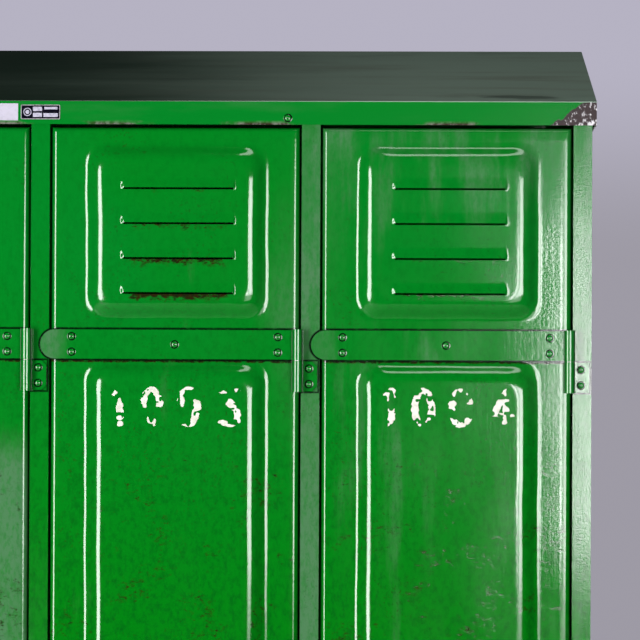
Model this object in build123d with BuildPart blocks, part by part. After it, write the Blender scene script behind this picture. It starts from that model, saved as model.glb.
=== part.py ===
"""Coin operated locker: a bank of four tall steel lockers under one sloping roof.

Units are millimetres.  X runs to the right, Y runs to the back and Z is up.  The origin is on
the floor, under the middle of the object's box.  Every door hangs at its right edge on two
strap hinges, and carries a coin lock with a key, a latch bolt and a coin return flap.
"""
import os

from build123d import *

# ---- cabinet ---------------------------------------------------------------------------
COLUMNS = 4
PITCH = 350.0  # from post centre to post centre
POST_WIDTH = 24.0
POST_DEPTH = 20.0
WALL = 1.5  # folded sheet steel
SHEET = 1.2  # flat inner sheets
BODY_DEPTH = 494.0  # from the post faces to the back of the back panel
PLINTH_BOTTOM = 20.0
PLINTH_TOP = 112.0
FRAME_TOP = 1770.0  # top of the posts
BODY_TOP = 1796.0
SHELF_Z = 1450.0
SHELF_LIP = 15.0
SHELF_FRONT = 60.0  # behind the post faces
COAT_RAIL_Z = 1400.0
COAT_RAIL_RADIUS = 8.0
WALL_HOLE_RADIUS = 4.0
WALL_HOLES = (1050.0, 1500.0)  # spacing across and up
WALL_HOLES_Z = 930.0

# ---- roof ------------------------------------------------------------------------------
ROOF_OVERHANG = 5.5  # past each side
ROOF_FRONT = 4.0  # in front of the posts
ROOF_DEPTH = 504.0
ROOF_BOTTOM = 1769.5
FASCIA_TOP = 1800.0
ROOF_RISE = 106.0  # from the fascia's top edge to the back edge

# ---- feet ------------------------------------------------------------------------------
FOOT_SIZE = 60.0
FOOT_INSET = 45.0
ANCHOR_RADIUS = 4.5
GUSSET = 70.0  # plate over each foot
GUSSET_THICK = 3.0

# ---- doors -----------------------------------------------------------------------------
DOOR_WIDTH = 320.0
DOOR_HEIGHT = 1650.0
DOOR_TOP = 1765.5
DOOR_DEPTH = 20.0
DOOR_PROUD = 1.0  # door face in front of the post faces
DOOR_EDGE_RADIUS = 3.0
DOOR_LIP = 12.0  # return fold at the back of the pan
FIELD_MARGIN = 41.5
FIELD_X = 1.5  # middle of the fields, from the door's middle
FIELD_HEIGHT = 12.0
FIELD_SLOPE = 18.0
FIELD_RADIUS = 18.0
FIELDS = ((20, 248), (301, 705), (945, 1349), (1402, 1630))  # below the door's top edge
LOUVRED_FIELDS = (20, 1402)
LOUVRE_X = 4.0
LOUVRE_LENGTH = 148.0
LOUVRE_HEIGHT = 15.0
LOUVRE_PROUD = 4.0
LOUVRE_LIP = (1.0, 5.0)  # how far the hood leans back, and over what height
LOUVRE_FIRST = 59.0  # first slit, below the field's top
LOUVRE_PITCH = 45.0
LOUVRE_COUNT = 4

# ---- hinges ----------------------------------------------------------------------------
AXIS_X = 158.5  # from the door's middle
KNUCKLE_RADIUS = 7.25
KNUCKLE_GAP = 0.5
PIN_RADIUS = 4.0
PIN_CLEARANCE = 0.08
PIN_ENDS = (2.0, 4.0)  # short of the knuckles, below and above
STRAP_WIDTH = 40.0
STRAP_THICK = 3.0
STRAP_TIP = -175.0  # past the door's left edge, over the post
STRAP_TOPS = (260.0, 1350.0)  # below the door's top edge
STRAP_NAMES = ("upper", "lower")
STRAP_RIVETS = ((-133.3, -10), (-133.3, 10), (0, 0), (133.3, -10), (133.3, 10))
LEAF_REACH = 26.5
LEAF_START = 3.5  # past the hinge axis
LEAF_CHAMFER = 8.0
LEAF_RIVET_X = 15.0
LEAF_RIVET_Z = 10.0
RIVET_HEAD_RADIUS = 4.3
RIVET_HEAD_HEIGHT = 2.2
RIVET_SHANK_RADIUS = 2.5
RIVET_TAPER = 35.0
RIVET_REACH = 2.5  # past the riveted sheet
FASCIA_RIVET_X = 320.0
FASCIA_RIVET_Z = 1778.0
FASCIA_RIVET_REACH = 3.9

# ---- coin lock -------------------------------------------------------------------------
LOCK_X = -112.0  # from the door's middle
LOCK_Z = 940.0
PLATE_WIDTH = 64.0
PLATE_HEIGHT = 170.0
PLATE_THICK = 10.0
PLATE_RADIUS = 6.0
PLATE_CHAMFER = 2.0
PLATE_CUT = (-20.0, 5.0)  # depths that clear the plate on both sides
CASE_WIDTH = 50.0
CASE_HEIGHT = 140.0
CASE_DEPTH = 36.0
SLOT_Z = 58.0  # coin slot, above the lock's middle
SLOT_HEIGHT = 27.0
SLOT_WIDTH = 3.0
KEY_Z = 10.0
PLUG_RADIUS = 9.0
PLUG_CLEARANCE = 0.1
PLUG_REACH = 22.0
PLUG_PROUD = 2.0
KEY_SHAFT = 12.0
KEY_BOW_RADIUS = 12.0
KEY_THICK = 2.5
KEY_OVERLAP = 4.0  # of the shaft and the bow
KEY_BLADE = 8.0
KEY_RING_HOLE = 4.0
CAM_REACH = 16.0
CAM_WIDTH = 8.0
CAM_THICK = 3.0
BOLT_HEIGHT = 20.0
BOLT_THICK = 8.0
BOLT_Y = 27.0  # middle of the bolt, behind the post faces
BOLT_RETRACTED = 3.0  # tip inside the door's left edge
BOLT_TAIL = 10.0  # past the lock's middle
BOLT_CHAMFER = 2.0
BOLT_CLEARANCE = 0.4
CUP_Z = -48.0
CUP_WIDTH = 36.0
CUP_HEIGHT = 32.0
FLAP_AXLE_RADIUS = 1.5
FLAP_THICK = 1.5
FLAP_GAP = 0.5
FLAP_AXLE_DROP = 2.5  # below the cup's top
FLAP_AXLE_ENDS = 5.0

# ---- plates on the fascia --------------------------------------------------------------
MAKER_PLATE = (51.0, 19.0, 1.0)
MAKER_PLATE_RADIUS = 1.5
LABEL = (90.0, 22.0, 0.4)
LABEL_RIGHT = -29.0
PLATES_Z = 1785.0

# ---- derived places --------------------------------------------------------------------
PLUG_FRONT = -DOOR_PROUD - PLATE_THICK - PLUG_PROUD
KEY_PROUD = KEY_SHAFT + 2 * KEY_BOW_RADIUS - KEY_OVERLAP - PLUG_FRONT
FRONT = (KEY_PROUD - (ROOF_DEPTH - ROOF_FRONT)) / 2  # y of the post faces
HALF_WIDTH = COLUMNS * PITCH / 2 + POST_WIDTH / 2
INNER_BACK = BODY_DEPTH - SHEET
DOOR_BOTTOM = DOOR_TOP - DOOR_HEIGHT
DOOR_X = [PITCH * (n - (COLUMNS - 1) / 2) for n in range(COLUMNS)]
POST_X = [PITCH * (n - COLUMNS / 2) for n in range(COLUMNS + 1)]
PARTITION_X = POST_X[1:-1]
WALL_FACES = [-HALF_WIDTH + WALL] + [x + s * SHEET / 2 for x in PARTITION_X for s in (-1, 1)]
WALL_FACES += [HALF_WIDTH - WALL]
BAYS = list(zip(WALL_FACES[0::2], WALL_FACES[1::2]))
AXIS_Y = -DOOR_PROUD - KNUCKLE_GAP - KNUCKLE_RADIUS  # behind the post faces
STRAP_Z = [DOOR_TOP - top - STRAP_WIDTH / 2 for top in STRAP_TOPS]
FOOT_X = HALF_WIDTH - FOOT_INSET
FOOT_Y = (FOOT_INSET, BODY_DEPTH - FOOT_INSET)

os.makedirs("parts", exist_ok=True)


def save(builder, name):
    """Label a finished sub-part and write it."""
    builder.part.label = name
    export_step(builder.part, f"parts/{name}.step")


def upright(depth):
    """The X-Z plane at a depth behind the post faces; it faces the front."""
    return Plane.XZ.offset(-(FRONT + depth))


def block(x_range, depth_range, z_range, mode=Mode.ADD):
    """A box from its limits; depths are behind the post faces."""
    low = (x_range[0], FRONT + depth_range[0], z_range[0])
    high = (x_range[1], FRONT + depth_range[1], z_range[1])
    middle = tuple((a + b) / 2 for a, b in zip(low, high))
    with Locations(middle):
        Box(*(b - a for a, b in zip(low, high)), mode=mode)


def drill(points, radius, depth_range, mode=Mode.SUBTRACT):
    """Round holes, or round bars, that run from front to back."""
    with BuildSketch(upright(depth_range[1])) as circles:
        with Locations(points):
            Circle(radius)
    extrude(circles.sketch, amount=depth_range[1] - depth_range[0], mode=mode)


def rivets(points, seat, reach):
    """Domed rivets whose heads sit at a depth and whose shanks reach back."""
    drill(points, RIVET_SHANK_RADIUS, (seat, seat + reach), Mode.ADD)
    with BuildSketch(upright(seat)) as heads:
        with Locations(points):
            Circle(RIVET_HEAD_RADIUS)
    extrude(heads.sketch, amount=RIVET_HEAD_HEIGHT, taper=RIVET_TAPER)


# ---- roof, with its fascia, gables and back --------------------------------------------
def roof_outline(inset):
    """The roof's side view, drawn inside its outer faces by the inset."""
    slope = ROOF_RISE / ROOF_DEPTH
    front = FRONT - ROOF_FRONT + inset
    back = FRONT - ROOF_FRONT + ROOF_DEPTH - inset
    base = ROOF_BOTTOM - (1 if inset else 0)
    front_top = FASCIA_TOP - inset + slope * inset
    back_top = FASCIA_TOP + ROOF_RISE - inset - slope * inset
    Polygon((front, base), (back, base), (back, back_top), (front, front_top), align=None)


with BuildPart() as roof:
    with BuildSketch(Plane.YZ):
        roof_outline(0)
    extrude(amount=HALF_WIDTH + ROOF_OVERHANG, both=True)
    with BuildSketch(Plane.YZ):
        roof_outline(WALL)
    extrude(amount=HALF_WIDTH + ROOF_OVERHANG - WALL, both=True, mode=Mode.SUBTRACT)
    drill([(x, FASCIA_RIVET_Z) for x in (-FASCIA_RIVET_X, FASCIA_RIVET_X)],
          RIVET_SHANK_RADIUS, (-ROOF_FRONT - 1, 0))
save(roof, "roof")

# ---- carcass sheets --------------------------------------------------------------------
for side, name in ((-1, "side_panel_left"), (1, "side_panel_right")):
    with BuildPart() as side_panel:
        x_faces = sorted((side * HALF_WIDTH, side * (HALF_WIDTH - WALL)))
        block(x_faces, (POST_DEPTH, INNER_BACK), (PLINTH_TOP, BODY_TOP))
    save(side_panel, name)

with BuildPart() as back_panel:
    block((-HALF_WIDTH, HALF_WIDTH), (INNER_BACK, BODY_DEPTH), (PLINTH_TOP, BODY_TOP))
    wall_holes = [(x * WALL_HOLES[0] / 2, WALL_HOLES_Z + z * WALL_HOLES[1] / 2)
                  for x in (-1, 1) for z in (-1, 1)]
    drill(wall_holes, WALL_HOLE_RADIUS, (INNER_BACK - 1, BODY_DEPTH + 1))
save(back_panel, "back_panel")

with BuildPart() as floor_panel:
    block((WALL_FACES[0], WALL_FACES[-1]), (WALL, BODY_DEPTH - WALL), (PLINTH_TOP - WALL, PLINTH_TOP))
save(floor_panel, "floor_panel")

with BuildPart() as top_panel:
    block((WALL_FACES[0], WALL_FACES[-1]), (POST_DEPTH, INNER_BACK), (FRAME_TOP, FRAME_TOP + WALL))
save(top_panel, "top_panel")

for n, x in enumerate(PARTITION_X, 1):
    with BuildPart() as partition:
        block((x - SHEET / 2, x + SHEET / 2), (POST_DEPTH, INNER_BACK), (PLINTH_TOP, FRAME_TOP))
    save(partition, f"partition_{n}")

with BuildPart() as hat_shelves:
    for left, right in BAYS:
        block((left, right), (SHELF_FRONT, INNER_BACK), (SHELF_Z, SHELF_Z + SHEET))
        block((left, right), (SHELF_FRONT, SHELF_FRONT + SHEET), (SHELF_Z - SHELF_LIP, SHELF_Z))
save(hat_shelves, "hat_shelves")

with BuildPart() as coat_rails:
    for left, right in BAYS:
        with BuildSketch(Plane.YZ.offset(left)):
            with Locations((FRONT + BODY_DEPTH / 2, COAT_RAIL_Z)):
                Circle(COAT_RAIL_RADIUS)
                Circle(COAT_RAIL_RADIUS - WALL, mode=Mode.SUBTRACT)
        extrude(amount=right - left)
save(coat_rails, "coat_rails")

# ---- front frame -----------------------------------------------------------------------
LEAF_RIVETS = [(AXIS_X + LEAF_RIVET_X, z - STRAP_WIDTH - KNUCKLE_GAP + s * LEAF_RIVET_Z)
               for z in STRAP_Z for s in (-1, 1)]

for n, x in enumerate(POST_X, 1):
    with BuildPart() as post:
        half = POST_WIDTH / 2
        block((x - half, x + half), (0, POST_DEPTH), (PLINTH_TOP, FRAME_TOP))
        block((x - half + WALL, x + half - WALL), (WALL, POST_DEPTH - WALL),
              (PLINTH_TOP - 1, FRAME_TOP + 1), Mode.SUBTRACT)
        if n > 1:
            drill([(x - PITCH / 2 + rx, rz) for rx, rz in LEAF_RIVETS], RIVET_SHANK_RADIUS, (-1, 3))
    save(post, f"post_{n}")

with BuildPart() as top_rail:
    block((-HALF_WIDTH, HALF_WIDTH), (WALL - ROOF_FRONT, POST_DEPTH), (FRAME_TOP, BODY_TOP))
    block((-HALF_WIDTH - 1, HALF_WIDTH + 1), (2 * WALL - ROOF_FRONT, POST_DEPTH - WALL),
          (FRAME_TOP + WALL, BODY_TOP - WALL), Mode.SUBTRACT)
    drill([(x, FASCIA_RIVET_Z) for x in (-FASCIA_RIVET_X, FASCIA_RIVET_X)],
          RIVET_SHANK_RADIUS, (-ROOF_FRONT, 0))
save(top_rail, "top_rail")

# ---- plinth and feet -------------------------------------------------------------------
with BuildPart() as plinth:
    inner = HALF_WIDTH - WALL
    block((-HALF_WIDTH, HALF_WIDTH), (0, BODY_DEPTH), (PLINTH_BOTTOM, PLINTH_TOP))
    block((-inner, inner), (WALL, BODY_DEPTH - WALL), (PLINTH_BOTTOM - 1, PLINTH_TOP + 1),
          Mode.SUBTRACT)
    for x in (-FOOT_X, 0, FOOT_X):
        for y, wall_y in zip(FOOT_Y, (0, BODY_DEPTH)):
            low_x = -HALF_WIDTH if x < 0 else x - GUSSET / 2
            high_x = HALF_WIDTH if x > 0 else x + GUSSET / 2
            depths = sorted((wall_y, y + (GUSSET / 2 if wall_y < y else -GUSSET / 2)))
            block((low_x, high_x), depths, (PLINTH_BOTTOM, PLINTH_BOTTOM + GUSSET_THICK))
    with Locations(*((s * FOOT_X, FRONT + y, PLINTH_BOTTOM) for s in (-1, 1) for y in FOOT_Y)):
        Cylinder(ANCHOR_RADIUS, 10, mode=Mode.SUBTRACT)
save(plinth, "plinth")

with BuildPart() as feet:
    for x in (-FOOT_X, 0, FOOT_X):
        for y in FOOT_Y:
            with Locations((x, FRONT + y, PLINTH_BOTTOM / 2)):
                Box(FOOT_SIZE, FOOT_SIZE, PLINTH_BOTTOM)
                if x:
                    Cylinder(ANCHOR_RADIUS, PLINTH_BOTTOM, mode=Mode.SUBTRACT)
save(feet, "feet")

# ---- fixed halves of the hinges --------------------------------------------------------
HINGES = [(x, z) for x in DOOR_X for z in STRAP_Z]

with BuildPart() as hinge_leaves:
    for x, z in HINGES:
        axis_x = x + AXIS_X
        top = z - STRAP_WIDTH / 2 - KNUCKLE_GAP
        with BuildSketch(upright(0)) as leaf:
            with Locations((axis_x + (LEAF_START + LEAF_REACH) / 2, top - STRAP_WIDTH / 2)):
                Rectangle(LEAF_REACH - LEAF_START, STRAP_WIDTH)
            chamfer(leaf.vertices().group_by(Axis.X)[-1], LEAF_CHAMFER)
        extrude(amount=STRAP_THICK)
        block((axis_x, axis_x + KNUCKLE_RADIUS), (AXIS_Y, -STRAP_THICK + 0.5), (top - STRAP_WIDTH, top))
        with Locations((axis_x, FRONT + AXIS_Y, top - STRAP_WIDTH / 2)):
            Cylinder(KNUCKLE_RADIUS, STRAP_WIDTH)
            Cylinder(PIN_RADIUS, STRAP_WIDTH, mode=Mode.SUBTRACT)
        drill([(x + rx, rz) for rx, rz in LEAF_RIVETS], RIVET_SHANK_RADIUS, (-STRAP_THICK - 1, 1))
save(hinge_leaves, "hinge_leaves")

with BuildPart() as hinge_pins:
    pin_length = 2 * STRAP_WIDTH + KNUCKLE_GAP - sum(PIN_ENDS)
    bottom = -1.5 * STRAP_WIDTH - KNUCKLE_GAP + PIN_ENDS[0]
    with Locations(*((x + AXIS_X, FRONT + AXIS_Y, z + bottom) for x, z in HINGES)):
        Cylinder(PIN_RADIUS, pin_length, align=(Align.CENTER, Align.CENTER, Align.MIN))
save(hinge_pins, "hinge_pins")

with BuildPart() as frame_rivets:
    rivets([(x + rx, rz) for x in DOOR_X for rx, rz in LEAF_RIVETS], -STRAP_THICK,
           STRAP_THICK + RIVET_REACH)
    rivets([(x, FASCIA_RIVET_Z) for x in (-FASCIA_RIVET_X, FASCIA_RIVET_X)], -ROOF_FRONT,
           FASCIA_RIVET_REACH)
save(frame_rivets, "frame_rivets")

# ---- plates on the fascia --------------------------------------------------------------
with BuildPart() as maker_plate:
    with BuildSketch(upright(-ROOF_FRONT)):
        with Locations((0, PLATES_Z)):
            RectangleRounded(MAKER_PLATE[0], MAKER_PLATE[1], MAKER_PLATE_RADIUS)
    extrude(amount=MAKER_PLATE[2])
save(maker_plate, "maker_plate")

with BuildPart() as label:
    block((LABEL_RIGHT - LABEL[0], LABEL_RIGHT), (-ROOF_FRONT - LABEL[2], -ROOF_FRONT),
          (PLATES_Z - LABEL[1] / 2, PLATES_Z + LABEL[1] / 2))
save(label, "label")


# ---- door, drawn with its middle at x = 0 ----------------------------------------------
def raised_field(top, bottom, depth, mode):
    """A raised field with sloping sides, standing off the door's face."""
    middle = (FIELD_X, DOOR_TOP - (top + bottom) / 2)
    width = DOOR_WIDTH - 2 * FIELD_MARGIN
    height = bottom - top
    with BuildSketch(upright(depth)) as foot:
        with Locations(middle):
            RectangleRounded(width, height, FIELD_RADIUS)
    with BuildSketch(upright(depth - FIELD_HEIGHT)) as crown:
        with Locations(middle):
            RectangleRounded(width - 2 * FIELD_SLOPE, height - 2 * FIELD_SLOPE, FIELD_RADIUS / 3)
    loft([foot.sketch, crown.sketch], mode=mode)


def louvre(z, depth, length, mode):
    """A hood that slopes out from the field and is open along its lower edge."""
    y = FRONT + depth
    lean, rise = LOUVRE_LIP
    with BuildSketch(Plane.YZ.offset(LOUVRE_X)) as hood:
        Polygon((y, z), (y - LOUVRE_PROUD, z), (y - LOUVRE_PROUD + lean, z + rise),
                (y, z + LOUVRE_HEIGHT), align=None)
    extrude(hood.sketch, amount=length / 2, both=True, mode=mode)


LOCK_LEFT = LOCK_X - CASE_WIDTH / 2
LOCK_RIGHT = LOCK_X + CASE_WIDTH / 2
CASE_BOTTOM = LOCK_Z - CASE_HEIGHT / 2
CASE_TOP = LOCK_Z + CASE_HEIGHT / 2
CASE_BACK = WALL - DOOR_PROUD + CASE_DEPTH
PLUG_Z = LOCK_Z + KEY_Z
DOOR_RIVETS = [(x, z + s) for z in STRAP_Z for x, s in STRAP_RIVETS]

with BuildPart() as door_blank:
    half = DOOR_WIDTH / 2
    face = -DOOR_PROUD
    back = face + DOOR_DEPTH
    block((-half, half), (face, back), (DOOR_BOTTOM, DOOR_TOP))
    front_face = door_blank.faces().sort_by(Axis.Y)[0]
    fillet(front_face.edges(), DOOR_EDGE_RADIUS)
    for top, bottom in FIELDS:
        raised_field(top, bottom, face, Mode.ADD)
    block((WALL - half, half - WALL), (face + WALL, back - WALL),
          (DOOR_BOTTOM + WALL, DOOR_TOP - WALL), Mode.SUBTRACT)
    block((DOOR_LIP - half, half - DOOR_LIP), (back - 2 * WALL, back + 1),
          (DOOR_BOTTOM + DOOR_LIP, DOOR_TOP - DOOR_LIP), Mode.SUBTRACT)
    for top, bottom in FIELDS:
        raised_field(top, bottom, face + WALL, Mode.SUBTRACT)
    for top in LOUVRED_FIELDS:
        for n in range(LOUVRE_COUNT):
            slit_z = DOOR_TOP - top - LOUVRE_FIRST - n * LOUVRE_PITCH
            louvre(slit_z, face - FIELD_HEIGHT, LOUVRE_LENGTH, Mode.ADD)
            louvre(slit_z, face - FIELD_HEIGHT + WALL, LOUVRE_LENGTH - 2 * WALL, Mode.SUBTRACT)
    drill(DOOR_RIVETS, RIVET_SHANK_RADIUS, (face - 1, face + WALL + 1))
    block((LOCK_LEFT, LOCK_RIGHT), (face - 1, face + WALL + 1), (CASE_BOTTOM, CASE_TOP), Mode.SUBTRACT)

# ---- moving half of a hinge ------------------------------------------------------------
with BuildPart() as strap_blank:
    with BuildSketch(upright(-DOOR_PROUD)):
        with Locations(((STRAP_TIP + STRAP_WIDTH / 2 + AXIS_X) / 2, 0)):
            Rectangle(AXIS_X - STRAP_TIP - STRAP_WIDTH / 2, STRAP_WIDTH)
        with Locations((STRAP_TIP + STRAP_WIDTH / 2, 0)):
            Circle(STRAP_WIDTH / 2)
    extrude(amount=STRAP_THICK)
    block((AXIS_X - KNUCKLE_RADIUS, AXIS_X), (AXIS_Y, -DOOR_PROUD), (-STRAP_WIDTH / 2, STRAP_WIDTH / 2))
    with Locations((AXIS_X, FRONT + AXIS_Y, 0)):
        Cylinder(KNUCKLE_RADIUS, STRAP_WIDTH)
        Cylinder(PIN_RADIUS + PIN_CLEARANCE, STRAP_WIDTH, mode=Mode.SUBTRACT)
    drill(STRAP_RIVETS, RIVET_SHANK_RADIUS, (-DOOR_PROUD - STRAP_THICK - 1, 0))

with BuildPart() as strap_rivets_blank:
    rivets(DOOR_RIVETS, -DOOR_PROUD - STRAP_THICK, STRAP_THICK + RIVET_REACH)

# ---- coin lock -------------------------------------------------------------------------
FLAP_Y = -DOOR_PROUD - PLATE_THICK / 2
FLAP_AXLE_Z = LOCK_Z + CUP_Z + CUP_HEIGHT / 2 - FLAP_AXLE_DROP
CUP_FLOOR = LOCK_Z + CUP_Z - CUP_HEIGHT / 2

with BuildPart() as coin_plate_blank:
    with BuildSketch(upright(-DOOR_PROUD)):
        with Locations((LOCK_X, LOCK_Z)):
            RectangleRounded(PLATE_WIDTH, PLATE_HEIGHT, PLATE_RADIUS)
    extrude(amount=PLATE_THICK)
    chamfer(coin_plate_blank.faces().sort_by(Axis.Y)[0].outer_wire().edges(), PLATE_CHAMFER)
    block((LOCK_X - SLOT_WIDTH / 2, LOCK_X + SLOT_WIDTH / 2), PLATE_CUT,
          (LOCK_Z + SLOT_Z - SLOT_HEIGHT / 2, LOCK_Z + SLOT_Z + SLOT_HEIGHT / 2), Mode.SUBTRACT)
    drill([(LOCK_X, PLUG_Z)], PLUG_RADIUS + PLUG_CLEARANCE, PLATE_CUT)
    block((LOCK_X - CUP_WIDTH / 2, LOCK_X + CUP_WIDTH / 2), PLATE_CUT,
          (CUP_FLOOR, CUP_FLOOR + CUP_HEIGHT), Mode.SUBTRACT)
    with Locations((LOCK_X, FRONT + FLAP_Y, FLAP_AXLE_Z)):
        Cylinder(FLAP_AXLE_RADIUS + PLUG_CLEARANCE, CUP_WIDTH + FLAP_AXLE_ENDS + 1, rotation=(0, 90, 0),
                 mode=Mode.SUBTRACT)

with BuildPart() as lock_case_blank:
    block((LOCK_LEFT, LOCK_RIGHT), (-DOOR_PROUD, CASE_BACK), (CASE_BOTTOM, CASE_TOP))
    divider = CUP_FLOOR + CUP_HEIGHT
    for z_range in ((CUP_FLOOR, divider), (divider + WALL, CASE_TOP - WALL)):
        block((LOCK_LEFT + WALL, LOCK_RIGHT - WALL), (-DOOR_PROUD - 1, CASE_BACK - WALL), z_range,
              Mode.SUBTRACT)
    half_y = BOLT_THICK / 2 + BOLT_CLEARANCE
    half_z = BOLT_HEIGHT / 2 + BOLT_CLEARANCE
    block((LOCK_LEFT - 1, LOCK_LEFT + WALL + 1), (BOLT_Y - half_y, BOLT_Y + half_y),
          (PLUG_Z - half_z, PLUG_Z + half_z), Mode.SUBTRACT)

with BuildPart() as key_blank:
    bow_y = PLUG_FRONT - KEY_SHAFT - KEY_BOW_RADIUS + KEY_OVERLAP
    plug_back = PLUG_FRONT + PLUG_REACH
    drill([(LOCK_X, PLUG_Z)], PLUG_RADIUS, (PLUG_FRONT, plug_back), Mode.ADD)
    block((LOCK_X - KEY_THICK / 2, LOCK_X + KEY_THICK / 2), (bow_y, PLUG_FRONT + 1),
          (PLUG_Z - KEY_BLADE / 2, PLUG_Z + KEY_BLADE / 2))
    block((LOCK_X - CAM_WIDTH / 2, LOCK_X + CAM_WIDTH / 2), (plug_back, plug_back + CAM_THICK),
          (PLUG_Z - CAM_REACH, PLUG_Z + CAM_REACH))
    with Locations((LOCK_X, FRONT + bow_y, PLUG_Z)):
        Cylinder(KEY_BOW_RADIUS, KEY_THICK, rotation=(0, 90, 0))
        Cylinder(KEY_RING_HOLE, KEY_THICK, rotation=(0, 90, 0), mode=Mode.SUBTRACT)

with BuildPart() as latch_bolt_blank:
    tip = BOLT_RETRACTED - DOOR_WIDTH / 2
    block((tip, LOCK_X + BOLT_TAIL), (BOLT_Y - BOLT_THICK / 2, BOLT_Y + BOLT_THICK / 2),
          (PLUG_Z - BOLT_HEIGHT / 2, PLUG_Z + BOLT_HEIGHT / 2))
    chamfer(latch_bolt_blank.faces().sort_by(Axis.X)[0].edges().filter_by(Axis.Z), BOLT_CHAMFER)

with BuildPart() as return_flap_blank:
    block((LOCK_X - CUP_WIDTH / 2 + FLAP_GAP, LOCK_X + CUP_WIDTH / 2 - FLAP_GAP),
          (FLAP_Y - FLAP_THICK / 2, FLAP_Y + FLAP_THICK / 2), (CUP_FLOOR + FLAP_GAP, FLAP_AXLE_Z))
    with Locations((LOCK_X, FRONT + FLAP_Y, FLAP_AXLE_Z)):
        Cylinder(FLAP_AXLE_RADIUS, CUP_WIDTH + FLAP_AXLE_ENDS, rotation=(0, 90, 0))

# ---- the same door pieces in every column ----------------------------------------------
DOOR_PIECES = [
    ("door_panel", door_blank, 0),
    ("strap_rivets", strap_rivets_blank, 0),
    ("coin_plate", coin_plate_blank, 0),
    ("lock_case", lock_case_blank, 0),
    ("key", key_blank, 0),
    ("latch_bolt", latch_bolt_blank, 0),
    ("return_flap", return_flap_blank, 0),
]
DOOR_PIECES += [(f"strap_{name}", strap_blank, z) for name, z in zip(STRAP_NAMES, STRAP_Z)]

for n, x in enumerate(DOOR_X, 1):
    for name, blank, z in DOOR_PIECES:
        with BuildPart() as door_piece:
            with Locations((x, 0, z)):
                add(blank.part)
        save(door_piece, f"{name}_{n}")
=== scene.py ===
"""Looks for the coin operated locker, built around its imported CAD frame.

Everything is in metres and in the frame's own axes: X to the right, Y to the back and Z up.
Heights on a door are given as depths below the door's top edge, as its pressings are laid out.
"""

import math

import bmesh
import bpy
import numpy as np
from mathutils import Matrix, Vector


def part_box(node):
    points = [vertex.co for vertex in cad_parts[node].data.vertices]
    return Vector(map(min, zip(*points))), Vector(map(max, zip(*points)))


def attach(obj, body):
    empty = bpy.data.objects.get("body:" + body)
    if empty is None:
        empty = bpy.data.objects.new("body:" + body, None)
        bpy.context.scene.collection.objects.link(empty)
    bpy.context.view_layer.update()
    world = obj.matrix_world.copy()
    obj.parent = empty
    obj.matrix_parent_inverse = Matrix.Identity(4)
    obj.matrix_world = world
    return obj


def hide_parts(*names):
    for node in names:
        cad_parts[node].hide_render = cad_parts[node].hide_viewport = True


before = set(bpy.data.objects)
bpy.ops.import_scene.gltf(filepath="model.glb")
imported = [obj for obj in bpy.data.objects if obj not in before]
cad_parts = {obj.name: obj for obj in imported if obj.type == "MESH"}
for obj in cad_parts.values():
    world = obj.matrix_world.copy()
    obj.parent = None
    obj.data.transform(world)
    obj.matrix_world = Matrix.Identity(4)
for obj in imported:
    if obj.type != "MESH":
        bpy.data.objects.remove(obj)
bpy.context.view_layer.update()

# ---- driving dimensions ----------------------------------------------------------------
DOORS = (1, 2, 3, 4)
DOOR_LOW, DOOR_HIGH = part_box("door_panel_1")
DOOR_HALF = (DOOR_HIGH.x - DOOR_LOW.x) / 2
DOOR_TOP = DOOR_HIGH.z
DOOR_HEIGHT = DOOR_HIGH.z - DOOR_LOW.z
DOOR_DEPTH = 0.020
FACE_Y = DOOR_HIGH.y - DOOR_DEPTH  # front of the doors' flat faces
SHEET = 0.0012
FOLD_RADIUS = 0.0065
LIP = 0.012  # return fold at the back of a door

FIELD_X = 0.0015
FIELD_HALF = 0.120
FIELDS = ((0.0185, 0.2495), (0.299, 0.7065), (0.9435, 1.351), (1.4005, 1.6315))
FIELD_RISE = 0.012
FOOT_RADIUS = 0.014
CROWN_RADIUS = 0.025
SLOPE_ANGLE = math.radians(38)
CORNER_BLEND = 0.026

LOUVRE_X = 0.004
LOUVRE_HALF = 0.074
LOUVRE_RISE = 0.0025
LOUVRE_HEIGHT = 0.015
LOUVRE_ENDS = (0.0064, 0.0036)  # length of a hood's left and right ends
SLIT_ENDS = (0.0036, 0.0018)  # closed length at a hood's left and right ends
LOUVRE_FIRST = (0.079, 1.461)  # the highest slit of each louvred field
LOUVRE_PITCH = 0.045
LOUVRE_COUNT = 4
SLIT_HALF = 0.0012
SLITS = [first + n * LOUVRE_PITCH for first in LOUVRE_FIRST for n in range(LOUVRE_COUNT)]

LOCK_CASE_LOW, LOCK_CASE_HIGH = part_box("lock_case_1")
STRAP_BOXES = [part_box(f"strap_{place}_1") for place in ("upper", "lower")]
PITCH = (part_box("door_panel_2")[0] - DOOR_LOW).x
FIRST_X = (DOOR_LOW.x + DOOR_HIGH.x) / 2  # middle of the first door
STRAP_RADIUS = (STRAP_BOXES[0][1].z - STRAP_BOXES[0][0].z) / 2
STRAP_Z = [(low.z + high.z) / 2 for low, high in STRAP_BOXES]
TIP_X = STRAP_BOXES[0][0].x + STRAP_RADIUS - FIRST_X  # middle of a strap's round tip, on its door
STRAP_CELL = -0.187  # where a column begins, for what belongs to a strap
KNUCKLE_RADIUS = 0.00725
AXIS_X = STRAP_BOXES[0][1].x - KNUCKLE_RADIUS - FIRST_X
LEAF_CELL = AXIS_X - 0.02  # where a column begins, for what belongs to a hinge
LEAF_MIDDLE = (0.015, -0.0405)  # from the hinge axis and the strap's middle line
LEAF_HALF = (0.0115, 0.020)

ROOF_LOW, ROOF_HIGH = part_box("roof")
FASCIA_TOP = 1.8
ROOF_SLOPE = 0.2103  # rise over run, towards the back


def door_x(n):
    """The middle of a door, across the cabinet."""
    low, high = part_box(f"door_panel_{n}")
    return (low.x + high.x) / 2


# ---- small tools -----------------------------------------------------------------------
LATTICE = 61  # points along each side of the noise's grid


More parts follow.
